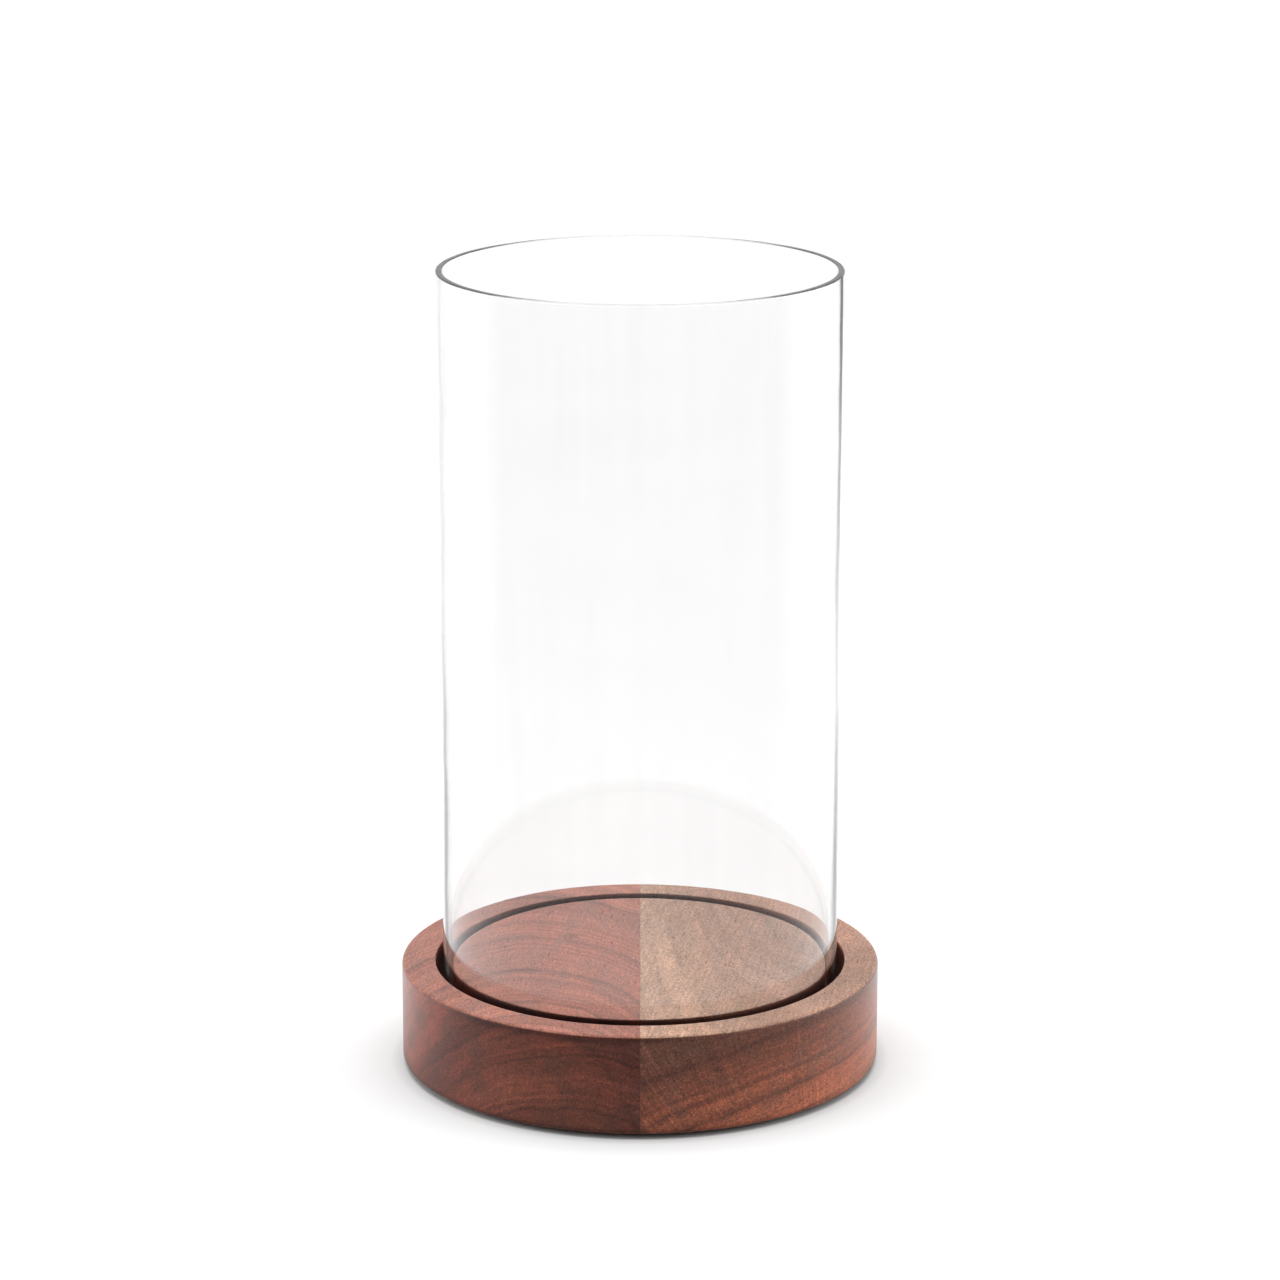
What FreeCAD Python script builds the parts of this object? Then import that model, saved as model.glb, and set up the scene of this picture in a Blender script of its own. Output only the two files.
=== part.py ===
"""Display cylinder: a clear glass sleeve on a round, felt-footed wood base.

Pieces:
  base_left_board, base_right_board   halves of the turned base, glued along x = 0
  glass_cylinder                      straight sleeve, open at both ends, standing
                                      loose in the base's ring groove
  foot_pad_*                          four felt discs under the base

Frame: millimetres, +Z up, front is -Y and right is +X.  The origin is the centre of
the footprint on the table, so the pads' undersides lie in z = 0.
"""

import FreeCAD, Part
import math
import os

Vector = FreeCAD.Vector

# Wood base
base_radius = 76.2            # 6 in diameter
wood_height = 31.75           # 1 1/4 in thick
top_edge_radius = 1.2         # sanded outer edge of the top face
bottom_edge_radius = 1.5      # sanded outer edge of the underside

# Ring groove that locates the glass
groove_outer_radius = 65.5
island_radius = 59.8          # round deck inside the groove
groove_depth = 12.0
groove_edge_chamfer = 0.35    # both top edges of the groove
groove_floor_radius = 0.5     # tool corner between the outer wall and the floor

# Glass
glass_outer_radius = 63.0
glass_wall = 2.0
glass_height = 235.0
glass_outer_chamfer = 0.5     # both rims, outside
glass_inner_chamfer = 0.3     # both rims, inside
glass_lift = 0.0              # height of the glass above the groove floor; 0 = seated

# Foot pads
pad_radius = 7.0
pad_thickness = 1.5
pad_edge_chamfer = 0.3        # lower edge
pad_circle_radius = 58.0      # circle through the pad centres
pad_first_angle = 45.0        # degrees from +X, counterclockwise seen from above
pad_places = ["rear_right", "rear_left", "front_left", "front_right"]

# Heights
wood_bottom = pad_thickness
wood_top = wood_bottom + wood_height
groove_floor = wood_top - groove_depth


# ---------------------------------------------------------------- profile helpers
# Profiles lie in the XZ plane: x is the distance from the axis.

def point(x, z):
    return Vector(x, 0, z)


def lines(points):
    """Straight edges joining the points in order."""
    return [Part.makeLine(start, end) for start, end in zip(points, points[1:])]


def corner_arc(start, centre, end):
    """Shorter arc about centre from start to end."""
    outward = (start - centre) + (end - centre)
    outward.normalize()
    middle = centre + outward * (start - centre).Length
    return Part.Arc(start, middle, end).toShape()


def turned(edges):
    """Solid of revolution about Z of a closed profile."""
    face = Part.Face(Part.Wire(edges))
    solid = face.revolve(Vector(0, 0, 0), Vector(0, 0, 1), 360)
    # The profile's winding decides which way the solid faces.
    if solid.Volume < 0:
        solid.reverse()
    return solid


def turned_polygon(points):
    return turned(lines(points + points[:1]))


# ---------------------------------------------------------------------- wood base

def make_base_blank():
    """The whole turned base; its profile runs out from the axis and back over the top."""
    underside_rim = point(base_radius - bottom_edge_radius, wood_bottom)
    side_bottom = point(base_radius, wood_bottom + bottom_edge_radius)
    side_top = point(base_radius, wood_top - top_edge_radius)
    top_rim = point(base_radius - top_edge_radius, wood_top)
    wall_bottom = point(groove_outer_radius, groove_floor + groove_floor_radius)
    floor_rim = point(groove_outer_radius - groove_floor_radius, groove_floor)
    axis_bottom = point(0, wood_bottom)

    bottom_centre = point(underside_rim.x, side_bottom.z)
    top_centre = point(top_rim.x, side_top.z)
    groove_centre = point(floor_rim.x, wall_bottom.z)

    edges = lines([axis_bottom, underside_rim])
    edges.append(corner_arc(underside_rim, bottom_centre, side_bottom))
    edges += lines([side_bottom, side_top])
    edges.append(corner_arc(side_top, top_centre, top_rim))
    edges += lines([
        top_rim,
        point(groove_outer_radius + groove_edge_chamfer, wood_top),
        point(groove_outer_radius, wood_top - groove_edge_chamfer),
        wall_bottom,
    ])
    edges.append(corner_arc(wall_bottom, groove_centre, floor_rim))
    edges += lines([
        floor_rim,
        point(island_radius, groove_floor),
        point(island_radius, wood_top - groove_edge_chamfer),
        point(island_radius - groove_edge_chamfer, wood_top),
        point(0, wood_top),
        axis_bottom,
    ])
    return turned(edges)


def make_board(blank, box_left):
    """Part of the blank inside a box whose left face is at x = box_left."""
    solids = blank.common(Part.makeBox(
        box_width, box_depth, box_height, Vector(box_left, -box_depth / 2, -box_margin)
    )).Solids
    if len(solids) != 1:
        raise RuntimeError("expected one solid, got %d" % len(solids))
    return solids[0].removeSplitter()


# Box that takes one half of the blank, with room to spare on its other sides
box_width = 2 * base_radius
box_depth = 2 * box_width
box_margin = 10.0             # below z = 0 and above the wood
box_height = wood_top + 2 * box_margin


# -------------------------------------------------------------------------- glass

def make_glass():
    inner = glass_outer_radius - glass_wall
    outer = glass_outer_radius
    bottom = groove_floor + glass_lift
    top = bottom + glass_height
    return turned_polygon([
        point(inner + glass_inner_chamfer, bottom),
        point(outer - glass_outer_chamfer, bottom),
        point(outer, bottom + glass_outer_chamfer),
        point(outer, top - glass_outer_chamfer),
        point(outer - glass_outer_chamfer, top),
        point(inner + glass_inner_chamfer, top),
        point(inner, top - glass_inner_chamfer),
        point(inner, bottom + glass_inner_chamfer),
    ])


# ---------------------------------------------------------------------- foot pads

def make_pad(degrees):
    """Felt disc centred on the pad circle at the given angle."""
    pad = turned_polygon([
        point(0, 0),
        point(pad_radius - pad_edge_chamfer, 0),
        point(pad_radius, pad_edge_chamfer),
        point(pad_radius, pad_thickness),
        point(0, pad_thickness),
    ])
    angle = math.radians(degrees)
    pad.translate(Vector(math.cos(angle), math.sin(angle), 0) * pad_circle_radius)
    return pad


# ------------------------------------------------------------------ build, export

base_blank = make_base_blank()
parts = {
    "base_left_board": make_board(base_blank, -box_width),
    "base_right_board": make_board(base_blank, 0),
    "glass_cylinder": make_glass(),
}
for index, place in enumerate(pad_places):
    degrees = pad_first_angle + index * 360 / len(pad_places)
    parts["foot_pad_" + place] = make_pad(degrees)

os.makedirs("parts", exist_ok=True)
for name, shape in parts.items():
    if not shape.isValid() or shape.Volume <= 0:
        raise RuntimeError("bad solid: " + name)
    shape.exportStep("parts/%s.step" % name)
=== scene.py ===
"""Glass sleeve standing in the groove of a round wooden base glued up from two boards.

The axis is Z, with the floor at z = 0. The joint between the boards is the plane x = 0, the
reddish board lies on the left (-X), and the front, where the camera stands, is -Y.
"""
import math
from functools import reduce
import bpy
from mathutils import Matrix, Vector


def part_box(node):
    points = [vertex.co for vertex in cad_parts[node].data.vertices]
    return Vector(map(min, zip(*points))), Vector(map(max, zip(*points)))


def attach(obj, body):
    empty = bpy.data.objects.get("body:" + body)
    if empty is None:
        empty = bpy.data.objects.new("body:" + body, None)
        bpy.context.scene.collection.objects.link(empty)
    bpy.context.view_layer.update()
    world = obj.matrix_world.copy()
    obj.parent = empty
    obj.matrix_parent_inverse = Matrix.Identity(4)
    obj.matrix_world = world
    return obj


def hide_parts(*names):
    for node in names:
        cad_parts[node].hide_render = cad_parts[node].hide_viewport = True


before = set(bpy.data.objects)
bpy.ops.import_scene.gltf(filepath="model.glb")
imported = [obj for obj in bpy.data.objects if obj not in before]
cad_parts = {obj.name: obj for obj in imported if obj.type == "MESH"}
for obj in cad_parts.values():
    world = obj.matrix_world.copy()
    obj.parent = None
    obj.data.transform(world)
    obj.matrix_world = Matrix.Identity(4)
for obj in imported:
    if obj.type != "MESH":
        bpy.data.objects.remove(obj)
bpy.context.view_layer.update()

from types import SimpleNamespace

import bmesh
import bpy
import numpy as np
from mathutils import Vector

MM = 0.001
TAU = 2.0 * math.pi


# ---- sizes, read off the CAD frame ---------------------------------------
def node_points(node):
    return np.array([v.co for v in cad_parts[node].data.vertices])


def node_rings(node, z, tolerance=3e-6, step=2e-5):
    """Distinct radii of a CAD node's vertices at one height."""
    points = node_points(node)
    points = points[np.abs(points[:, 2] - z) < tolerance]
    rings = []
    for radius in np.sort(np.hypot(points[:, 0], points[:, 1])):
        if not rings or radius - rings[-1] > step:
            rings.append(float(radius))
    return rings


BOARD_LO, BOARD_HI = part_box("base_right_board")
GLASS_LO, GLASS_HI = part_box("glass_cylinder")
WOOD_Z0, WOOD_Z1 = BOARD_LO.z, BOARD_HI.z
FLOOR_Z = GLASS_LO.z                          # floor of the groove
BASE_R = BOARD_HI.x
DECK_R, RING_R0, RING_R1 = node_rings("base_right_board", WOOD_Z1)[-3:]
floor_rings = node_rings("base_right_board", FLOOR_Z)
ISLAND_R, GROOVE_FLOOR_R = floor_rings[0], floor_rings[-1]
ARRIS = ISLAND_R - DECK_R                     # broken arris of the groove
GROOVE_R = RING_R0 - ARRIS
BOTTOM_FLAT_R = node_rings("base_right_board", WOOD_Z0)[-1]

glass_points = node_points("glass_cylinder")
glass_rings = node_rings("glass_cylinder", GLASS_HI.z)
GLASS_RO = GLASS_HI.x
GLASS_RI = float(np.hypot(glass_points[:, 0], glass_points[:, 1]).min())
RIM_IN, RIM_OUT = glass_rings[0], glass_rings[-1]
RIM_ARRIS = min(GLASS_RO - RIM_OUT, RIM_IN - GLASS_RI)

# the same in millimetres, as the shaders use them
ISLAND_MM, GROOVE_MM = ISLAND_R / MM, GROOVE_R / MM
TOP_MM, BOTTOM_MM = WOOD_Z1 / MM, WOOD_Z0 / MM


# ---- shader nodes --------------------------------------------------------
def srgb(*channels):
    """Linear colour from 0-255 sRGB channels."""
    unit = [c / 255.0 for c in channels]
    return tuple(c / 12.92 if c <= 0.04045 else ((c + 0.055) / 1.055) ** 2.4 for c in unit)


class Nodes:
    """A shader tree. Most methods add nodes and return the last output; colours are RGB."""

    def __init__(self, tree):
        self.tree = tree
        tree.nodes.clear()

    def put(self, socket, value):
        if isinstance(value, bpy.types.NodeSocket):
            self.tree.links.new(value, socket)
        elif socket.type == "RGBA":
            socket.default_value = (*value, 1.0)
        else:
            socket.default_value = value

    def new(self, kind, inputs=None, **settings):
        node = self.tree.nodes.new(kind)
        for name, value in settings.items():
            setattr(node, name, value)
        for key, value in (inputs or {}).items():
            self.put(node.inputs[key], value)
        return node

    def fill(self, node, values):
        for socket, value in zip(node.inputs, values):
            self.put(socket, value)
        return node.outputs[0]

    def math(self, operation, *values, clamp=False):
        node = self.new("ShaderNodeMath", operation=operation, use_clamp=clamp)
        return self.fill(node, values)

    def times(self, *factors):
        return reduce(lambda a, b: self.math("MULTIPLY", a, b), factors)

    def total(self, *terms):
        return reduce(lambda a, b: self.math("ADD", a, b), terms)

    def times_add(self, value, factor, addend):
        return self.math("MULTIPLY_ADD", value, factor, addend)

    def invert(self, value, clamp=False):
        return self.math("SUBTRACT", 1.0, value, clamp=clamp)

    def vmath(self, operation, *vectors):
        node = self.new("ShaderNodeVectorMath", operation=operation)
        self.fill(node, vectors)
        return node.outputs["Value" if operation in ("DOT_PRODUCT", "LENGTH") else "Vector"]

    def scaled(self, vector, factor):
        inputs = {0: vector, "Scale": factor}
        return self.new("ShaderNodeVectorMath", inputs, operation="SCALE").outputs["Vector"]

    def xyz(self, vector):
        return self.new("ShaderNodeSeparateXYZ", {0: vector}).outputs

    def combine(self, x, y, z=0.0):
        return self.fill(self.new("ShaderNodeCombineXYZ"), (x, y, z))

    def object_mm(self):
        """Object coordinates in millimetres."""
        return self.scaled(self.new("ShaderNodeTexCoord").outputs["Object"], 1000.0)

    def noise(self, vector, scale, detail=2.0, rough=0.5, distortion=0.0, output="Fac"):
        inputs = {"Vector": vector, "Scale": scale, "Detail": detail, "Roughness": rough,
                  "Distortion": distortion}
        return self.new("ShaderNodeTexNoise", inputs).outputs[output]

    def fade(self, value, over, to=(0.0, 1.0), kind="SMOOTHSTEP"):
        """Map the range over onto the range to."""
        return self.fill(self.new("ShaderNodeMapRange", interpolation_type=kind),
                         (value, *over, *to))

    def ramp(self, value, stops, interpolation="LINEAR"):
        """Colour ramp; stops are (position, grey or colour)."""
        node = self.new("ShaderNodeValToRGB", {0: value})
        node.color_ramp.interpolation = interpolation
        elements = node.color_ramp.elements
        while len(elements) > 1:
            elements.remove(elements[-1])
        elements[0].position = stops[0][0]
        for i, (position, shade) in enumerate(stops):
            element = elements.new(position) if i else elements[0]
            element.color = (*(shade if isinstance(shade, tuple) else (shade,) * 3), 1.0)
        return node.outputs[0]

    def mix(self, amount, a, b, blend="MIX"):
        node = self.new("ShaderNodeMix", data_type="RGBA", blend_type=blend)
        for index, value in ((0, amount), (6, a), (7, b)):
            self.put(node.inputs[index], value)
        return node.outputs[2]

    def stain(self, base, amount, tint):
        """Multiply base by tint, as far as amount says."""
        return self.mix(amount, base, self.mix(1.0, base, tint, "MULTIPLY"))

    def overlay(self, base, amount, texture, stops):
        return self.mix(amount, base, self.ramp(texture, stops), "OVERLAY")

    def bump(self, height, strength, distance):
        inputs = {"Strength": strength, "Distance": distance, "Height": height}
        return self.new("ShaderNodeBump", inputs).outputs[0]

    def shader(self, kind, inputs=None):
        return self.new(kind, inputs).outputs[0]

    def shader_mix(self, amount, a, b):
        return self.fill(self.new("ShaderNodeMixShader"), (amount, a, b))

    def seen_directly(self, path):
        """1 for rays from the camera, also through glass."""
        return self.math("MAXIMUM", path["Is Camera Ray"], path["Is Transmission Ray"])


def material(name):
    mat = bpy.data.materials.new(name)
    mat.use_nodes = True
    return mat, Nodes(mat.node_tree)


# ---- wood: solid growth rings round a tilted pith, so that the figure on the
# top, the arcs on the end grain and the streaks on the sides all agree ------
RING_WAVER = ((0.018, 2.0, 0.5), (0.075, 2.0, 0.5), (0.35, 3.0, 0.6))    # scale, detail, rough


def ring_stops(table, span, gain=(1.0, 1.0, 1.0)):
    """Ramp stops from a table of (distance from the pith, strength or sRGB colour)."""
    low, high = span
    stops = []
    for distance, value in table:
        if isinstance(value, tuple):
            value = tuple(c * g for c, g in zip(srgb(*value), gain))
        stops.append(((distance - low) / (high - low), value))
    return stops


def locate(n, look):
    """Places and masks that the parts of the wood shader share, in millimetres."""
    at = SimpleNamespace(point=n.object_mm(), fibre=Vector(look.fibre).normalized())
    at.offset = (look.seed * 3.1, look.seed * 1.7, look.seed * 5.3)
    at.fibre_length = n.vmath("DOT_PRODUCT", at.point, at.fibre)
    at.x, at.y, at.z = n.xyz(at.point)
    at.radius = n.vmath("LENGTH", n.combine(at.x, at.y))

    pith = Vector(look.along).normalized()
    sideways = pith.cross(Vector((0.0, 0.0, 1.0))).normalized()
    from_pith = n.vmath("SUBTRACT", at.point, look.pith)
    at.along = n.vmath("DOT_PRODUCT", from_pith, pith)
    at.across = n.vmath("DOT_PRODUCT", from_pith, sideways)
    at.upward = n.vmath("DOT_PRODUCT", from_pith, sideways.cross(pith))

    # distance from the pith, made wavy
    long_grain = stretched(n, at, 0.35)
    at.waver = [n.math("SUBTRACT", n.noise(long_grain, *values), 0.5) for values in RING_WAVER]
    at.rings = oval_distance(n, at, look.oval)
    for wave, size in zip(at.waver, look.warp):
        at.rings = n.times_add(wave, size, at.rings)
    at.ring_share = n.fade(at.rings, over=look.span, kind="LINEAR")

    normal = n.xyz(n.new("ShaderNodeNewGeometry").outputs["True Normal"])
    at.flat = n.fade(n.math("ABSOLUTE", normal[2]), over=(0.50, 0.82))
    # end grain: front and back
    at.end_grain = n.fade(n.math("ABSOLUTE", normal[1]), over=(0.25, 0.85))
    return at


def oval_distance(n, at, oval):
    return n.vmath("LENGTH", n.combine(n.times(at.across, oval), at.upward))


def stretched(n, at, squeeze):
    """Coordinates squeezed along the grain, so that noise is elongated by 1 / squeeze."""
    shift = n.scaled(at.fibre, n.times(at.fibre_length, squeeze - 1.0))
    return n.vmath("ADD", n.vmath("ADD", at.point, shift), at.offset)


def growth_lines(n, look, at, base):
    """Dark growth lines, strong in places and nearly gone in others."""
    live = n.noise(stretched(n, at, 0.4), scale=0.055)
    live = n.fade(live, over=(0.34, 0.62), to=(0.25, 1.0))
    stops = ring_stops(look.lines, look.span)
    # a colour ramp holds at most 32 stops, so the table is split where the line is out
    split = max(k for k in range(1, 26) if stops[k][1] == 0.0)
    line = n.math("MAXIMUM", n.ramp(at.ring_share, stops[:split + 1], "EASE"),
                  n.ramp(at.ring_share, stops[split:], "EASE"))
    amount = n.times_add(at.flat, look.line_top - look.line_side, look.line_side)
    line = n.times(line, live, amount)
    # calmer on the front of the ring outside the groove
    calm = n.times(n.fade(at.radius, over=(GROOVE_MM - 2.0, GROOVE_MM)),
                   n.fade(at.y, over=(-22.0, -46.0)), at.flat, 0.65)
    line = n.times(line, n.invert(calm))
    return n.mix(line, base, n.mix(at.flat, srgb(*look.line_side_rgb), srgb(*look.line_top_rgb)))


def fine_growth(n, look, at, base):
    """Fine lines that follow the rings, nearly level on the turned side."""
    side = oval_distance(n, at, look.oval_side)
    side = n.times_add(at.waver[2], look.warp[2], side)
    side = n.times_add(at.waver[1], look.warp[1] * 1.6, side)
    rings = n.times_add(at.flat, n.math("SUBTRACT", at.rings, side), side)
    place = n.combine(n.times(rings, 0.75), n.times(at.along, 0.010), look.seed)
    lines = n.noise(place, scale=1.0, detail=4.0, rough=0.6)
    return n.overlay(base, look.fine, lines, [(0.30, 0.28), (0.5, 0.5), (0.70, 0.70)])


def rays(n, look, at, base):
    """Rays, which radiate from the pith and show on end grain."""
    angle = n.math("ARCTAN2", at.across, at.upward)
    place = n.combine(n.times(angle, look.ray_count), n.times(at.rings, 0.035),
                      n.times(at.along, 0.05))
    ray = n.noise(place, scale=1.0, detail=3.0, rough=0.6)
    patch = n.noise(at.point, scale=0.05, detail=1.0)
    patch = n.fade(patch, over=(0.40, 0.60), to=(0.35, 1.0))
    return n.overlay(base, n.times(at.end_grain, patch, look.ray_strength), ray,
                     [(0.30, 0.36), (0.46, 0.46), (0.56, 0.56), (0.72, 0.82)])


def patches(n, look, at, base):
    """Broad blotches, and greyer patches, as where the oil has taken less."""
    blotch = n.noise(stretched(n, at, 0.3), scale=0.05, detail=3.0, rough=0.55)
    base = n.overlay(base, look.blotch, blotch, [(0.3, 0.36), (0.7, 0.64)])
    grey = n.noise(stretched(n, at, 0.30), scale=0.11, detail=4.0, rough=0.6)
    grey = n.times(n.fade(grey, over=(0.44, 0.68)), look.grey)
    return n.mix(grey, base, n.mix(at.flat, srgb(*look.grey_side), srgb(*look.grey_top)))


def fibres(n, look, at, base):
    """Long thin streaks, the short dashes between them, and specks."""
    at.streak = n.noise(stretched(n, at, 0.05), scale=1.3, detail=3.0, rough=0.6)
    base = n.overlay(base, look.streak_strength, at.streak,
                     [(0.28, 0.22), (0.5, 0.5), (0.72, 0.80)])
    at.dash = n.noise(stretched(n, at, 0.20), scale=look.dash_scale, rough=0.62)
    base = n.overlay(base, look.dash_strength, at.dash,
                     [(0.30, 0.20), (0.5, 0.52), (0.70, 0.80)])
    at.speck = n.noise(stretched(n, at, 0.50), scale=1.7, detail=3.0, rough=0.75)
    amount = n.times_add(at.flat, look.speck_top - look.speck_side, look.speck_side)
    return n.overlay(base, amount, at.speck, [(0.32, 0.14), (0.5, 0.5), (0.68, 0.84)])


def pores(n, look, at, base):
    """Short dark dashes on long grain, dots on end grain."""
    cells = n.new("ShaderNodeTexVoronoi", {"Vector": stretched(n, at, look.pore_squeeze),
                                           "Scale": look.pore_scale})
    chance = n.xyz(cells.outputs["Color"])
    size = n.times_add(chance[0], look.pore_size * 0.9, look.pore_size * 0.25)
    pore = n.invert(n.math("DIVIDE", cells.outputs["Distance"], size), clamp=True)
    kept = n.math("GREATER_THAN", chance[1], 1.0 - look.pore_share)
    at.pore = n.math("POWER", n.math("MULTIPLY", pore, kept, clamp=True), 0.6)
    return n.stain(base, n.times(at.pore, look.pore_depth), (0.30, 0.20, 0.17))


def fleck(n, at, base, x, y, width, depth, strength):
    """One ragged dark mark on the top."""
    wobble = n.noise(at.point, scale=0.30, detail=3.0, output="Color")
    wobble = n.scaled(n.vmath("SUBTRACT", wobble, (0.5, 0.5, 0.5)), 5.0)
    place = n.vmath("SUBTRACT", n.vmath("ADD", at.point, wobble), (x, y, TOP_MM))
    place = n.vmath("MULTIPLY", place, (1.0 / width, 1.0 / depth, 0.15))
    broken = n.noise(at.point, scale=0.9, detail=3.0, rough=0.7)
    mask = n.times(n.fade(n.vmath("LENGTH", place), over=(1.0, 0.3)),
                   n.fade(broken, over=(0.42, 0.60)))
    return n.stain(base, n.times(mask, strength), (0.36, 0.22, 0.19))


def place_tints(n, look, at, base):
    """Changes of shade that belong to places on the base."""
    glue = n.fade(n.math("ABSOLUTE", n.xyz(at.point)[0]), over=(0.20, 0.05))
    base = n.stain(base, n.times(glue, 0.35), (0.46, 0.38, 0.34))
    # the deck inside the groove is painted a shade deeper than the ring: painted shade that
    # offsets the pale veil the glass sleeve lays over it
    deck = n.times(n.fade(at.radius, over=(ISLAND_MM + 2.0, ISLAND_MM)), at.flat)
    base = n.stain(base, deck, look.deck)
    # darker just below the top arris; along the foot it is painted shade, where the rounded
    # bottom edge faces the floor
    brow = n.times(n.fade(at.z, over=(TOP_MM - 3.6, TOP_MM - 0.9)), n.invert(at.flat),
                   n.fade(at.x, over=look.brow_x, to=(0.0, look.brow_strength)))
    foot = n.fade(at.z, over=(BOTTOM_MM + 2.4, BOTTOM_MM + 0.6), to=(0.0, 0.7))
    base = n.stain(base, n.math("MAXIMUM", brow, foot), (0.42, 0.38, 0.36))
    # painted shade: the groove is painted nearly black-brown below its edges, where little light
    # reaches down into it
    groove_shade = n.times(n.fade(at.radius, over=(ISLAND_MM - 0.7, ISLAND_MM - 0.1)),
                  n.fade(at.radius, over=(GROOVE_MM + 0.7, GROOVE_MM + 0.1)),
                  n.fade(at.z, over=(TOP_MM - 0.25, TOP_MM - 1.6)))
    base = n.stain(base, groove_shade, (0.34, 0.25, 0.21))
    # little of the wood's red is thrown on the table
    thrown = n.new("ShaderNodeLightPath").outputs["Is Diffuse Ray"]
    return n.stain(base, n.times(thrown, 0.8), (0.34, 0.46, 0.52))


def wood_material(name, look):
    mat, n = material(name)
    at = locate(n, look)
    # top faces show long grain; the turned side is painted darker than the top: painted shade,
    # added to the shade the lamps already give it
    top = n.ramp(at.ring_share, ring_stops(look.top, look.span, look.top_gain), "EASE")
    side = n.ramp(at.ring_share, ring_stops(look.side, look.span, look.side_gain), "EASE")
    base = n.mix(at.flat, side, top)
    for layer in (growth_lines, fine_growth, rays, patches, fibres, pores):
        base = layer(n, look, at, base)
    for values in look.flecks:
        base = fleck(n, at, base, *values)
    base = place_tints(n, look, at, base)

    rough = n.times_add(at.streak, 0.14, 0.34)
    height = n.times_add(at.streak, 0.5, n.times(at.dash, 0.5))
    height = n.times_add(at.pore, -1.4, height)
    height = n.times_add(at.speck, 0.5, height)
    wood = n.shader("ShaderNodeBsdfPrincipled", {
        "Base Color": base,
        "Roughness": n.math("MULTIPLY_ADD", at.pore, 0.25, rough, clamp=True),
        "IOR": 1.48,
        "Specular IOR Level": 0.26,
        # thin oil film: the pale sheen where the turned side curves away
        "Coat Weight": n.times_add(at.flat, -0.45, 0.55),
        "Coat Roughness": 0.30,
        "Normal": n.bump(height, strength=0.25, distance=0.00012)})
    n.new("ShaderNodeOutputMaterial", {"Surface": wood})
    return mat


# Looks of the two boards; lengths are in millimetres.
#   pith, along     a point on the pith and its direction; fibre is the grain's direction
#   oval            squash of the rings, on the top and on the side
#   warp            size of the rings' broad, middling and small waver
#   top, side       (distance from the pith, sRGB), then multiplied by the gain; the side colours hold painted shade
#   lines           (distance from the pith, strength) of the dark growth lines
#   brow_x          where the shade below the top arris sets in and is full
#   flecks          (x, y, half width, half depth, strength)
#   deck            tint of the deck inside the groove: painted shade against the glass's veil
# The other values are strengths, scales and colours of the layers they are named after.

# left board: reddish brown, flat sawn
LEFT = SimpleNamespace(
    seed=1.7, pith=(-34.3, -57.0, -60.0), along=(0.0, 1.0, -0.70), fibre=(0.10, 1.0, 0.0),
    oval=1.67, oval_side=0.75, span=(40.0, 170.0), warp=(4.2, 3.0, 1.5),
    top_gain=(0.585, 0.45, 0.395), side_gain=(0.78, 0.66, 0.58),
    top=[
        (40, (190, 134, 118)), (75, (188, 131, 114)), (86, (186, 129, 113)),
        (94, (190, 132, 114)), (100, (180, 126, 111)), (107, (190, 133, 115)),
        (118, (182, 127, 112)), (127, (188, 133, 116)), (142, (180, 128, 113)),
        (150, (188, 135, 119)), (170, (186, 132, 116))],
    side=[
        (40, (120, 68, 52)), (48, (117, 64, 48)), (54, (119, 66, 49)), (60, (113, 61, 45)),
        (66, (112, 58, 42)), (69, (104, 54, 39)), (74, (106, 54, 40)), (80, (98, 48, 36)),
        (86, (100, 50, 37)), (94, (125, 60, 42)), (104, (139, 69, 47)), (114, (137, 71, 50)),
        (126, (124, 66, 49)), (170, (122, 66, 50))],
    lines=[
        (40, 0.0), (48.0, 0.0), (49.0, 0.5), (50.4, 0.0), (55.0, 0.0), (56.2, 0.7), (57.6, 0.0),
        (61.4, 0.0), (62.5, 0.45), (63.6, 0.0), (68.0, 0.10), (69.4, 1.0), (70.8, 0.25),
        (73.6, 0.0), (76.6, 0.6), (78.4, 0.0), (83.2, 0.10), (84.4, 0.7), (86.0, 0.0),
        (92.0, 0.0), (93.0, 0.2), (94.0, 0.0), (99.4, 0.10), (100.7, 0.42), (101.4, 1.0),
        (102.0, 0.40), (105.0, 0.0), (109.6, 0.0), (110.5, 0.2), (111.4, 0.0), (118.0, 0.10),
        (119.4, 0.42), (120.1, 1.0), (120.8, 0.40), (124.0, 0.0), (130.0, 0.0), (131.0, 0.25),
        (132.2, 0.0), (141.4, 0.10), (143.0, 0.45), (143.7, 1.0), (144.5, 0.35), (148.0, 0.0)],
    line_top=1.0, line_side=0.30, line_top_rgb=(84, 54, 49), line_side_rgb=(56, 26, 19),
    grey=0.50, grey_top=(124, 88, 78), grey_side=(72, 43, 34), fine=0.90, blotch=0.40,
    ray_count=70.0, ray_strength=0.20, streak_strength=0.34, dash_strength=0.36,
    dash_scale=2.4, speck_top=0.70, speck_side=0.72,
    pore_scale=0.85, pore_squeeze=0.16, pore_size=0.30, pore_share=0.25, pore_depth=0.50,
    deck=(0.965, 0.93, 0.91), brow_strength=0.85, brow_x=(-68.0, -46.0),
    flecks=[(-22.5, 20.5, 4.4, 3.4, 1.0), (-33.0, 17.8, 9.0, 1.1, 0.6),
            (-36.0, -13.0, 8.0, 3.4, 0.45), (-46.0, -42.0, 6.0, 4.0, 0.40)])

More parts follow.
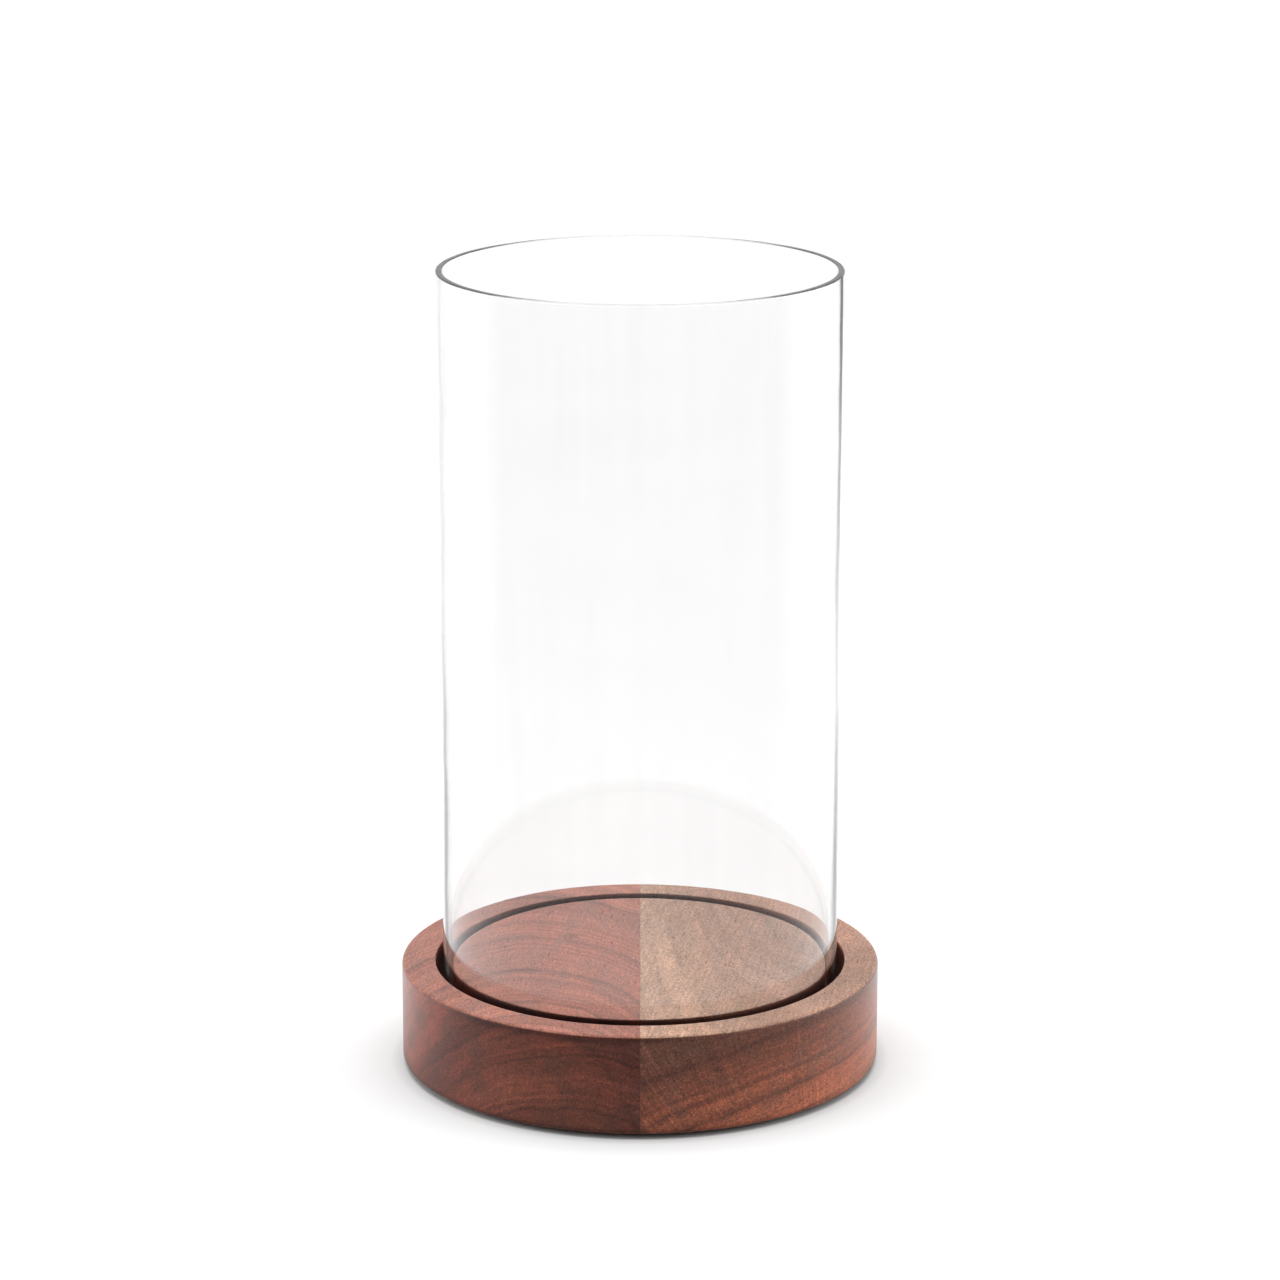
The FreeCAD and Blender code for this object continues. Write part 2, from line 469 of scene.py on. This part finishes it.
# right board: pale tan top, side from grey-brown to orange with one dark line
RIGHT = SimpleNamespace(
    seed=4.2, pith=(64.2, 0.0, -50.1), along=(0.15, 1.0, 0.10), fibre=(0.17, 1.0, 0.0),
    oval=0.777, oval_side=0.777, span=(45.0, 105.0), warp=(3.4, 2.2, 1.1),
    top_gain=(0.60, 0.555, 0.52), side_gain=(0.94, 0.845, 0.77),
    top=[
        (45, (178, 131, 108)), (76.0, (184, 138, 116)), (80.0, (182, 137, 116)),
        (83.0, (180, 137, 116)), (86.0, (186, 144, 122)), (88.0, (190, 147, 125)),
        (89.7, (184, 142, 119)), (91.4, (196, 154, 130)), (94.0, (206, 164, 139)),
        (97.0, (212, 171, 147)), (100.0, (214, 174, 150)), (105, (210, 169, 144))],
    side=[
        (45, (160, 93, 65)), (56.0, (157, 91, 64)), (62.0, (153, 88, 62)),
        (67.5, (147, 82, 57)), (71.5, (141, 79, 55)), (74.0, (129, 72, 51)),
        (77.0, (130, 73, 52)), (80.5, (118, 67, 48)), (84.0, (108, 62, 46)),
        (88.0, (102, 61, 47)), (92.0, (108, 67, 53)), (96.0, (104, 66, 52)),
        (101, (110, 70, 55)), (105, (108, 69, 54))],
    lines=[
        (45, 0.0), (57.4, 0.0), (58.4, 0.30), (59.6, 0.0), (61.6, 0.0), (62.2, 0.22),
        (63.0, 0.0), (66.5, 0.05), (67.5, 1.0), (68.3, 0.50), (71.0, 0.10), (72.6, 0.05),
        (73.7, 0.45), (75.0, 0.0), (76.2, 0.0), (77.0, 0.35), (78.2, 0.0), (82.0, 0.0),
        (84.6, 0.20), (86.6, 0.52), (88.2, 0.22), (90.2, 0.0), (91.0, 0.05), (92.0, 0.32),
        (93.6, 0.0), (96.8, 0.0), (97.8, 0.25), (99.0, 0.0)],
    line_top=0.16, line_side=0.72, line_top_rgb=(120, 88, 74), line_side_rgb=(52, 32, 28),
    grey=0.45, grey_top=(142, 114, 97), grey_side=(90, 62, 49), fine=0.62, blotch=0.24,
    ray_count=95.0, ray_strength=0.85, streak_strength=0.46, dash_strength=0.55,
    dash_scale=3.1, speck_top=0.70, speck_side=0.72,
    pore_scale=0.95, pore_squeeze=0.16, pore_size=0.32, pore_share=0.40, pore_depth=0.55,
    deck=(0.93, 0.955, 0.965), brow_strength=0.75, brow_x=(26.0, 3.0),
    flecks=[])


# ---- meshes --------------------------------------------------------------
def link(obj):
    bpy.context.scene.collection.objects.link(obj)
    return obj


def mesh_object(name, verts, faces, mat, sharp):
    """Smooth-shaded object, with edges sharper than sharp degrees kept crisp."""
    mesh = bpy.data.meshes.new(name)
    mesh.from_pydata([tuple(v) for v in verts], [], faces)
    mesh.materials.append(mat)
    mesh.polygons.foreach_set("use_smooth", [True] * len(mesh.polygons))
    mesh.update()
    bm = bmesh.new()
    bm.from_mesh(mesh)
    bmesh.ops.recalc_face_normals(bm, faces=bm.faces)
    bm.to_mesh(mesh)
    bm.free()
    mesh.set_sharp_from_angle(angle=math.radians(sharp))
    mesh.update()
    return link(bpy.data.objects.new(name, mesh))


def hand_over(obj, group, node):
    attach(obj, group)
    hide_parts(node)


def line(start, end, count):
    """count points from start towards end, the end left out."""
    t = np.linspace(0.0, 1.0, count, endpoint=False)[:, None]
    return np.array(start)[None] * (1 - t) + np.array(end)[None] * t


def arc(centre, radius, start, end, count):
    """count points from start towards end, in degrees, the end left out."""
    t = np.radians(np.linspace(start, end, count, endpoint=False))
    return np.c_[centre[0] + radius * np.cos(t), centre[1] + radius * np.sin(t)]


def spin(profile, angles):
    """Grids of angle, radius and height: one row an angle, one column a profile point."""
    turn, radius = np.meshgrid(angles, profile[:, 0], indexing="ij")
    return turn, radius, np.tile(profile[:, 1], (len(angles), 1))


def stacked(x, y, z):
    return np.stack([x, y, z], -1).reshape(-1, 3)


def strip(a, b):
    """Quads between two rows of vertex numbers."""
    return list(zip(a[:-1].tolist(), a[1:].tolist(), b[1:].tolist(), b[:-1].tolist()))


def closed_rows(rows, low, high):
    """Faces between successive rows, each closed to a low and a high pole."""
    faces = []
    for a, b in zip(rows[:-1], rows[1:]):
        faces.append((low, int(a[0]), int(b[0])))
        faces.extend(strip(a, b))
        faces.append((high, int(b[-1]), int(a[-1])))
    return faces


def waves(seed, count, turns, pitch, size):
    """Smooth seeded field of (angle, height in mm), a sum of count sine waves."""
    rng = np.random.default_rng(seed)
    k = rng.integers(turns[0], turns[1] + 1, count)
    slope = rng.uniform(pitch[0], pitch[1], count) * rng.choice([-1, 1], count)
    phase = rng.uniform(0, TAU, count)
    weight = rng.uniform(0.4, 1.0, count)
    weight *= size / np.sqrt((weight ** 2).sum() / 2)

    def field(angle, height):
        out = np.zeros(np.broadcast(angle, height).shape)
        for i in range(count):
            out = out + weight[i] * np.sin(k[i] * angle + slope[i] * height + phase[i])
        return out
    return field


# ---- boards --------------------------------------------------------------
BOARD_STEPS = 300
JOINT_OVERLAP = 0.002 * MM                    # glued tight: no light through the joint


def board_profile():
    """(radius, height) from the axis along the bottom, up the side and back over the top."""
    low = BASE_R - BOTTOM_FLAT_R              # rounding of the bottom edge
    high = BASE_R - RING_R1                   # rounding of the top edge
    fillet = GROOVE_R - GROOVE_FLOOR_R
    z0, z1, zf, c = WOOD_Z0, WOOD_Z1, FLOOR_Z, ARRIS
    return np.vstack([
        line((0.0, z0), (BASE_R - low, z0), 36),
        arc((BASE_R - low, z0 + low), low, -90, 0, 8),
        line((BASE_R, z0 + low), (BASE_R, z1 - high), 36),
        arc((BASE_R - high, z1 - high), high, 0, 90, 8),
        line((BASE_R - high, z1), (GROOVE_R + c, z1), 14),
        arc((GROOVE_R + c, z1 - c), c, 90, 180, 4),
        line((GROOVE_R, z1 - c), (GROOVE_R, zf + fillet), 16),
        arc((GROOVE_R - fillet, zf + fillet), fillet, 0, -90, 4),
        line((GROOVE_R - fillet, zf), (ISLAND_R, zf), 8),
        line((ISLAND_R, zf), (ISLAND_R, z1 - c), 16),
        arc((ISLAND_R - c, z1 - c), c, 0, 90, 4),
        line((ISLAND_R - c, z1), (0.0, z1), 72),
        np.array([[0.0, z1]]),
    ])


def board(name, side, mat):
    """Half of the turned base, side 1 on the right and -1 on the left, with softened
    arrises and slight sanding undulation."""
    start, seed = (-math.pi / 2, 11) if side > 0 else (math.pi / 2, 12)
    end = math.pi / 2 if side > 0 else 1.5 * math.pi
    angles = np.linspace(start, end, BOARD_STEPS + 1)
    turn, r, z = spin(board_profile()[1:-1], angles)
    sanding = waves(seed, 10, turns=(2, 9), pitch=(0.02, 0.2), size=0.006 * MM)
    hollow = np.abs(sanding(turn, (r + z) / MM))
    r = np.where(np.abs(r - BASE_R) < 1e-6, r - hollow, r)
    hollow = np.abs(sanding(turn * 2.0, r / MM * 0.7))
    z = np.where(np.abs(z - WOOD_Z1) < 1e-6, z - hollow, z)
    x = r * np.cos(turn)
    x[0, :] = 0.0
    x[-1, :] = 0.0
    shift = -JOINT_OVERLAP * side
    verts = np.concatenate([stacked(x + shift, r * np.sin(turn), z),
                            np.array([[shift, 0, WOOD_Z0], [shift, 0, WOOD_Z1]])])
    rows = np.arange(r.size).reshape(r.shape)
    low, high = r.size, r.size + 1
    faces = closed_rows(rows, low, high)
    # the glued face is one polygon round both halves of the section, then triangulated
    faces.append((low, *rows[0].tolist(), high, *rows[-1][::-1].tolist()))
    obj = mesh_object(name, verts, faces, mat, sharp=40.0)
    bm = bmesh.new()
    bm.from_mesh(obj.data)
    bmesh.ops.triangulate(bm, faces=[f for f in bm.faces if len(f.verts) > 4])
    bm.to_mesh(obj.data)
    bm.free()
    obj.data.update()
    return obj


left_wood = wood_material("reddish_board_wood", LEFT)
right_wood = wood_material("tan_board_wood", RIGHT)
hand_over(board("left_board", -1, left_wood), "base", "base_left_board")
hand_over(board("right_board", 1, right_wood), "base", "base_right_board")


# ---- glass ---------------------------------------------------------------
def let_light_through(n, shader, tint):
    """Lamps and bounced light pass the glass as through a tinted pane, so that what stands
    inside is lit cleanly; everything seen through it is refracted."""
    clear = n.shader("ShaderNodeBsdfTransparent", {"Color": tint})
    path = n.new("ShaderNodeLightPath").outputs
    through = n.math("MAXIMUM", path["Is Shadow Ray"], path["Is Diffuse Ray"])
    return n.shader_mix(through, shader, clear)


def ground_end(n, point, geometry, foot):
    """Surface of the cut and ground ends of the wall, with painted shade where they are seen
    along; foot is 1 on the lower end, which reads as a thin grey ring all the way round."""
    grit = n.noise(point, scale=1.4, detail=4.0, rough=0.65)
    # painted shade by view angle: looked along, the end of the wall is painted dark; looked
    # across, it nearly vanishes
    x, y, _ = n.xyz(point)
    radial = n.vmath("NORMALIZE", n.combine(x, y))
    view_x, view_y, view_z = n.xyz(geometry["Incoming"])
    view = n.vmath("NORMALIZE", n.combine(view_x, view_y))
    across = n.math("ABSOLUTE", n.vmath("DOT_PRODUCT", radial, view))
    across = n.fade(across, over=(0.35, 0.98), kind="LINEAR")
    pale = n.math("MAXIMUM", across, geometry["Backfacing"])
    pale = n.times(pale, n.times_add(foot, -0.72, 1.0))
    body = n.ramp(pale, [(0.0, (0.030, 0.031, 0.031)), (0.35, (0.09, 0.092, 0.092)),
                         (0.75, (0.42, 0.425, 0.425)), (1.0, (0.74, 0.745, 0.745))])
    dust = n.fade(grit, over=(0.3, 0.7), to=(0.0, 0.06))
    glass = n.shader("ShaderNodeBsdfPrincipled", {
        "Base Color": n.mix(dust, body, (0.9, 0.9, 0.9)),
        "Roughness": n.fade(grit, over=(0.3, 0.7), to=(0.14, 0.26)),
        "IOR": 1.2,
        "Transmission Weight": n.fade(pale, over=(0.0, 1.0), to=(0.45, 1.0)),
        "Normal": n.bump(grit, strength=0.15, distance=0.0002)})
    thinned = n.shader_mix(n.times(n.fade(pale, over=(0.45, 1.0)), 0.45), glass,
                           n.shader("ShaderNodeBsdfTransparent"))
    # the ground end scatters the light that falls on it: a pale ring when looked down on
    frost = n.ramp(grit, [(0.3, (0.40, 0.41, 0.41)), (0.7, (0.56, 0.57, 0.57))])
    above = n.fade(n.math("ABSOLUTE", view_z), over=(0.36, 0.85))
    return n.shader_mix(n.times(above, 0.75), thinned,
                        n.shader("ShaderNodeBsdfDiffuse", {"Color": frost}))


def outline(n, point, z, facing, geometry):
    """Painted shade where the wall is seen edge on: a thin wavering grey line just inside the
    outline, dark on the right towards the rim, soft on the left towards the foot."""
    px, py = n.xyz(point)[0], n.xyz(point)[1]
    radius = n.vmath("LENGTH", n.combine(px, py))
    outside = n.fade(radius, over=(GLASS_RO / MM - 1.0, GLASS_RO / MM - 0.5))
    waver = n.noise(n.vmath("MULTIPLY", point, (0.02, 0.02, 0.035)), scale=1.0)
    jag = n.noise(n.vmath("MULTIPLY", point, (0.05, 0.05, 0.45)), scale=1.0, rough=0.6)
    face = n.times_add(n.math("SUBTRACT", waver, 0.5), 0.09, facing)
    face = n.times_add(n.math("SUBTRACT", jag, 0.5), 0.012, face)

    def by_height(stops):
        return n.ramp(n.fade(z, over=(21.0, 256.0), kind="LINEAR"), stops)

    right = n.ramp(face, [(0.750, 0.0), (0.785, 0.18), (0.800, 0.60), (0.815, 1.0), (0.868, 1.0),
                          (0.885, 0.10), (0.93, 0.04), (0.97, 0.16), (1.0, 0.3)])
    right_amount = by_height([(0.0, 0.22), (0.45, 0.20), (0.62, 0.34), (0.80, 0.58),
                              (0.93, 0.93), (1.0, 0.95)])
    left = n.ramp(face, [(0.70, 0.0), (0.77, 0.35), (0.805, 1.0), (0.84, 0.80), (0.88, 0.20),
                         (0.94, 0.12), (1.0, 0.35)])
    left_amount = by_height([(0.0, 0.62), (0.25, 0.56), (0.45, 0.34), (0.58, 0.18),
                             (1.0, 0.12)])
    on_right = n.fade(n.xyz(geometry["Normal"])[0], over=(-0.3, 0.3))
    amount = n.total(n.times(right, right_amount, on_right),
                     n.times(left, left_amount, n.invert(on_right)))
    return n.math("MULTIPLY", amount, outside, clamp=True)


def glass_material():
    mat, n = material("clear_glass_sleeve")
    point = n.object_mm()
    z = n.xyz(point)[2]
    geometry = n.new("ShaderNodeNewGeometry").outputs
    facing = n.new("ShaderNodeLayerWeight", {"Blend": 0.5}).outputs["Facing"]
    edge = outline(n, point, z, facing, geometry)
    # very faint streaks drawn down the sleeve
    streak = n.noise(n.vmath("MULTIPLY", point, (0.20, 0.20, 0.009)), scale=1.0, detail=3.0,
                     rough=0.6)
    clean = n.ramp(streak, [(0.35, (0.984, 0.985, 0.985)), (0.5, (0.994, 0.995, 0.995)),
                            (0.62, (1.0, 1.0, 1.0))])
    # the tint is darkened along the painted edge line, and a little towards the foot: painted
    # shade
    kept = n.times(n.math("POWER", n.invert(edge, clamp=True), 2.0),
                   n.fade(z, over=(60.0, 170.0), to=(0.988, 1.0)))
    # faint drawing lines and waviness of a hand-worked sleeve
    drawn = n.noise(n.vmath("MULTIPLY", point, (0.10, 0.10, 0.012)), scale=1.0, detail=3.0)
    glass = n.shader("ShaderNodeBsdfPrincipled", {
        "Base Color": n.scaled(clean, kept),
        "Roughness": 0.0,
        "IOR": 1.5,
        "Transmission Weight": 1.0,
        "Specular IOR Level": 0.30,
        "Normal": n.bump(drawn, strength=0.06, distance=0.0003)})
    # painted shade: a dark diffuse line where the wall is seen edge on
    edge_shade = n.shader("ShaderNodeBsdfDiffuse", {"Color": (0.10, 0.10, 0.10)})
    edge_shade_amount = n.times(edge, n.invert(geometry["Backfacing"]), 0.85)
    lined = n.shader_mix(edge_shade_amount, glass, edge_shade)
    # the two ends of the wall
    rim_mm, foot_mm = (GLASS_HI.z - RIM_ARRIS) / MM, (GLASS_LO.z + RIM_ARRIS) / MM
    rim = n.fade(z, over=(rim_mm + 0.01, rim_mm + 0.03), kind="LINEAR")
    foot = n.fade(z, over=(foot_mm - 0.01, foot_mm - 0.03), kind="LINEAR")
    ends = n.math("MAXIMUM", rim, foot)
    whole = n.shader_mix(ends, lined, ground_end(n, point, geometry, foot))
    tint = n.ramp(facing, [(0.0, 0.975), (0.75, 0.94), (1.0, 0.62)])
    tint = n.mix(ends, tint, (0.8, 0.8, 0.8))
    n.new("ShaderNodeOutputMaterial", {
        "Surface": let_light_through(n, whole, tint),
        "Volume": n.shader("ShaderNodeVolumeAbsorption",
                           {"Color": (0.50, 0.53, 0.53), "Density": 5.0})})
    return mat


GLASS_STEPS = 384
WALL_STEPS = 84
HOLD = 0.06 * MM          # holding loops: the wall shades flat right up to the arris
WALL_SWELL = 0.05 * MM    # most that the outer wall moves either way
END_CUT = 0.2 * MM        # most that the cut ends recede
OUTER, RIM, INNER, FOOT = range(4)


def glass_profile():
    """(radius, height) points round the wall, and the part each belongs to."""
    ro, ri, z0, z1 = GLASS_RO, GLASS_RI, GLASS_LO.z, GLASS_HI.z
    co, ci = ro - RIM_OUT, RIM_IN - ri        # outer and inner arris
    outer_z = np.r_[z0 + co, np.linspace(z0 + co + HOLD, z1 - co - HOLD, WALL_STEPS), z1 - co]
    inner_z = np.r_[z1 - ci, np.linspace(z1 - ci - HOLD, z0 + ci + HOLD, WALL_STEPS), z0 + ci]
    sections = [
        (OUTER, [(ro, z) for z in outer_z]),
        (RIM, arc((ro - co, z1 - co), co, 0, 90, 5)[1:]),
        (RIM, line((ro - co, z1), (ri + ci, z1), 6)),
        (RIM, arc((ri + ci, z1 - ci), ci, 90, 180, 4)),
        (INNER, [(ri, z) for z in inner_z]),
        (FOOT, arc((ri + ci, z0 + ci), ci, 180, 270, 4)[1:]),
        (FOOT, line((ri + ci, z0), (ro - co, z0), 6)),
        (FOOT, arc((ro - co, z0 + co), co, 270, 360, 5)),
    ]
    parts = np.concatenate([np.full(len(points), part) for part, points in sections])
    return np.vstack([points for _, points in sections]), parts


def glass_sleeve():
    profile, part = glass_profile()
    turn, r, z = spin(profile, np.arange(GLASS_STEPS) * TAU / GLASS_STEPS)
    height = z / MM
    outer = waves(21, 9, turns=(2, 6), pitch=(0.004, 0.03), size=0.03 * MM)(turn, height)
    inner = waves(22, 12, turns=(2, 7), pitch=(0.004, 0.02), size=0.035 * MM)(turn, height)
    r = np.where(part == OUTER, r - WALL_SWELL + np.clip(outer, -WALL_SWELL, WALL_SWELL), r)
    r = np.where(part == INNER, r + inner, r)
    # the cut ends are not perfectly flat
    rim = np.abs(waves(23, 16, turns=(3, 24), pitch=(0.0, 0.01), size=0.02 * MM)(turn, 0.0))
    foot = np.abs(waves(24, 22, turns=(3, 60), pitch=(0.0, 0.01), size=0.10 * MM)(turn, 0.0))
    z = np.where(part == RIM, z - np.minimum(rim, END_CUT), z)
    z = np.where(part == FOOT, z + np.minimum(foot, END_CUT), z)
    # rows and columns both close on themselves
    rows = np.pad(np.arange(r.size).reshape(r.shape), ((0, 1), (0, 1)), mode="wrap")
    faces = [face for a, b in zip(rows[:-1], rows[1:]) for face in strip(a, b)]
    verts = stacked(r * np.cos(turn), r * np.sin(turn), z)
    return mesh_object("glass_sleeve", verts, faces, glass_material(), sharp=35.0)


hand_over(glass_sleeve(), "glass", "glass_cylinder")


# ---- felt pads -----------------------------------------------------------
PAD_STEPS = 96
PAD_EDGE = 0.45 * MM      # rounding of the lower edge


def felt_material():
    mat, n = material("pressed_felt")
    point = n.object_mm()
    fuzz = n.noise(point, scale=3.0, detail=5.0, rough=0.75, distortion=1.5)
    cloud = n.noise(point, scale=0.6)
    colour = n.ramp(fuzz, [(0.3, srgb(30, 26, 24)), (0.55, srgb(52, 46, 43)),
                           (0.72, srgb(84, 76, 70))])
    felt = n.shader("ShaderNodeBsdfPrincipled", {
        "Base Color": n.overlay(colour, 0.35, cloud, [(0.3, 0.35), (0.7, 0.65)]),
        "Roughness": 0.95,
        "Sheen Weight": 0.5,
        "Sheen Roughness": 0.5,
        "Normal": n.bump(fuzz, strength=0.8, distance=0.0003)})
    n.new("ShaderNodeOutputMaterial", {"Surface": felt})
    return mat


def pad(node, seed, mat):
    lo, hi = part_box(node)
    cx, cy = (lo.x + hi.x) / 2, (lo.y + hi.y) / 2
    radius, z0, z1, e = (hi.x - lo.x) / 2, lo.z, hi.z, PAD_EDGE
    neck = radius - 0.1 * MM
    profile = np.vstack([
        line((0.0, z0), (radius - e, z0), 14),
        arc((radius - e, z0 + e), e, -90, 0, 5),
        line((radius, z0 + e), (neck, z1), 6),
        line((neck, z1), (0.0, z1), 10),
        np.array([[0.0, z1]])])
    turn, r, z = spin(profile[1:-1], np.arange(PAD_STEPS) * TAU / PAD_STEPS)
    rng = np.random.default_rng(seed)
    edge = (r > radius - e) & (z < z1 - 1e-6)
    fuzz = rng.normal(0, 0.045 * MM, r.shape)
    r = np.where(edge, np.minimum(r + fuzz, radius + 0.02 * MM), r)
    lift = np.abs(rng.normal(0, 0.02 * MM, z.shape))
    z = np.where(np.abs(z - z0) < 1e-7, z + lift, z)
    verts = np.concatenate([stacked(cx + r * np.cos(turn), cy + r * np.sin(turn), z),
                            np.array([[cx, cy, z0], [cx, cy, z1]])])
    rows = np.arange(r.size).reshape(r.shape)
    faces = closed_rows(np.vstack([rows, rows[:1]]), r.size, r.size + 1)
    name = "felt_" + node.replace("foot_pad_", "")
    return mesh_object(name, verts, faces, mat, sharp=60.0)


felt = felt_material()
pad_nodes = sorted(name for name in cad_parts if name.startswith("foot_pad_"))
for k, node in enumerate(pad_nodes):
    hand_over(pad(node, 100 + k, felt), "base", node)


# ---- studio --------------------------------------------------------------
FLOOR_STEPS = 128
FLOOR_RINGS = (0.05, 0.1, 0.2, 0.4, 0.8, 1.6, 3.2, 6.4, 12.0)


def floor_glow(n, x, y, dist):
    """Painted light: strength of the white added to the floor where it is seen, mostly by
    distance from the centre; next to the base it lightens the contact shadow.
    """
    # painted light right round the base lifting its contact shadow, turning to slight painted
    # shade further out
    contact_shadow_lift = n.total(n.fade(dist, over=(0.0749, 0.0769), to=(0.0, 0.16)),
                   n.fade(dist, over=(0.0765, 0.0810), to=(0.0, 0.10)),
                   n.fade(dist, over=(0.085, 0.20), to=(0.0, -0.14)))
    behind = n.fade(y, over=(0.10, 0.50), to=(0.0, 0.055))
    away = n.total(n.fade(dist, over=(0.20, 0.50), to=(0.0, -0.07)),
                   n.fade(dist, over=(0.45, 2.4), to=(0.0, 0.37)))
    flanks_and_front = n.math("MAXIMUM", n.fade(n.math("ABSOLUTE", x), over=(0.34, 0.90)),
                              n.fade(y, over=(-0.26, -0.90)))
    far = n.fade(dist, over=(2.3, 6.0), to=(0.0, 0.45))
    return n.total(contact_shadow_lift, behind, away, n.times_add(flanks_and_front, 0.09, far))


def floor_material():
    mat, n = material("pale_floor")
    point = n.new("ShaderNodeTexCoord").outputs["Object"]
    cloud = n.noise(point, scale=9.0, detail=3.0)
    pale = n.ramp(cloud, [(0.3, (0.865, 0.862, 0.862)), (0.7, (0.885, 0.882, 0.882))])
    y = n.xyz(point)[1]
    dist = n.vmath("LENGTH", point)
    # mirrored in polished surfaces, the table on the viewer's side is painted dim, a painted
    #     reflection of a dim half of the room; looked at directly it sits just at white, not
    #     above it, so that the glass reads
    path = n.new("ShaderNodeLightPath").outputs
    direct = n.seen_directly(path)
    mirrored = n.times(path["Is Glossy Ray"], n.invert(direct))
    reflection_dim = n.fade(y, over=(-0.17, 0.12), to=(0.10, 0.95))
    level = n.times_add(mirrored, n.math("SUBTRACT", reflection_dim, 1.0), 1.0)
    level = n.times_add(direct, -0.335, level)
    # painted shadow: the floor under the wood is darkened where it is seen, as hardly any light
    # gets there
    under_shadow = n.fade(dist, over=(0.0700, 0.0752), to=(0.55, 0.0))
    level = n.times(level, n.invert(n.times(under_shadow, direct)))
    table = n.shader("ShaderNodeBsdfDiffuse", {"Color": n.scaled(pale, level)})
    glow = n.shader("ShaderNodeEmission",
                    {"Strength": floor_glow(n, n.xyz(point)[0], y, dist)})
    lit = n.shader("ShaderNodeAddShader", {0: table, 1: glow})
    n.new("ShaderNodeOutputMaterial", {"Surface": n.shader_mix(direct, table, lit)})
    return mat


def studio_floor():
    n = FLOOR_STEPS
    angles = [TAU * i / n for i in range(n)]
    verts = [(0, 0, 0)]
    verts += [(r * math.cos(a), r * math.sin(a), 0.0) for r in FLOOR_RINGS for a in angles]
    faces = [(0, 1 + i, 1 + (i + 1) % n) for i in range(n)]
    for k in range(len(FLOOR_RINGS) - 1):
        o = 1 + k * n
        for i in range(n):
            j = (i + 1) % n
            faces.append((o + i, o + n + i, o + n + j, o + j))
    return mesh_object("studio_floor", verts, faces, floor_material(), sharp=60.0)


def aim(obj, place, target):
    obj.location = place
    obj.rotation_euler = (Vector(target) - Vector(place)).to_track_quat("-Z", "Y").to_euler()


def softbox():
    light = bpy.data.lights.new("overhead_softbox", "AREA")
    light.shape = "RECTANGLE"
    light.size, light.size_y = 1.7, 1.3
    light.energy = 20.0
    light.spread = math.pi
    obj = link(bpy.data.objects.new("overhead_softbox", light))
    aim(obj, place=(0.0, 0.15, 1.5), target=(0, 0, 0))
    obj.visible_camera = False
    obj.visible_transmission = False


def studio_world():
    world = bpy.data.worlds.new("studio_world")
    bpy.context.scene.world = world
    world.use_nodes = True
    n = Nodes(world.node_tree)
    x, y, z = n.xyz(n.new("ShaderNodeTexCoord").outputs["Generated"])
    path = n.new("ShaderNodeLightPath").outputs
    # the room is white behind and above the table and dim on the viewer's side
    front = n.fade(y, over=(-0.80, 0.15), to=(0.12, 1.0))
    up = n.fade(z, over=(0.15, 0.8))
    level = n.times(n.math("MAXIMUM", front, n.times(up, 0.9)), 0.62)
    flank = n.times(n.fade(n.math("ABSOLUTE", x), over=(0.50, 0.92)),
                    n.fade(n.math("ABSOLUTE", z), over=(0.75, 0.35)))
    level = n.times_add(flank, 2.5, level)
    # and a lamp each side, set a little behind the object
    lobe = n.times_add(n.math("ABSOLUTE", x), 0.906, n.times(y, 0.423))
    lobe = n.times(n.fade(lobe, over=(0.74, 0.97)),
                   n.fade(n.math("ABSOLUTE", z), over=(0.42, 0.12)))
    level = n.times_add(lobe, 6.0, level)
    glossy = path["Is Glossy Ray"]
    sheen = n.fade(y, over=(-0.55, 0.35), to=(0.12, 1.0))
    power = n.total(n.times(level, n.invert(glossy)), n.times(sheen, glossy))
    white = (1.0, 1.0, 1.0)
    lit = n.shader("ShaderNodeBackground", {"Color": white, "Strength": power})
    # what the camera sees meets the far floor's white
    horizon = n.fade(z, over=(0.0, 0.16), to=(1.28, 1.04))
    seen = n.shader("ShaderNodeBackground", {"Color": white, "Strength": horizon})
    n.new("ShaderNodeOutputWorld",
          {"Surface": n.shader_mix(n.seen_directly(path), lit, seen)})


def camera():
    data = bpy.data.cameras.new("camera")
    data.sensor_width = 36.0
    data.lens = 123.0
    data.clip_start, data.clip_end = 0.05, 60.0
    obj = link(bpy.data.objects.new("camera", data))
    # from the rounded location, as the object stores it
    obj.location = (0.0, -1.330, 0.490)
    aim(obj, place=obj.location.copy(), target=(0.0, 0.0, 0.138))
    bpy.context.scene.camera = obj


def render_settings():
    scene = bpy.context.scene
    view, cycles = scene.view_settings, scene.cycles
    view.view_transform = "Standard"
    view.look = "None"
    view.exposure = 0.0
    view.gamma = 1.0
    cycles.max_bounces = 20
    cycles.transmission_bounces = 16
    cycles.glossy_bounces = 6
    cycles.diffuse_bounces = 4
    cycles.transparent_max_bounces = 24
    cycles.caustics_reflective = False
    cycles.sample_clamp_indirect = 8.0
    cycles.seed = 7


studio_floor()
softbox()
studio_world()
camera()
render_settings()
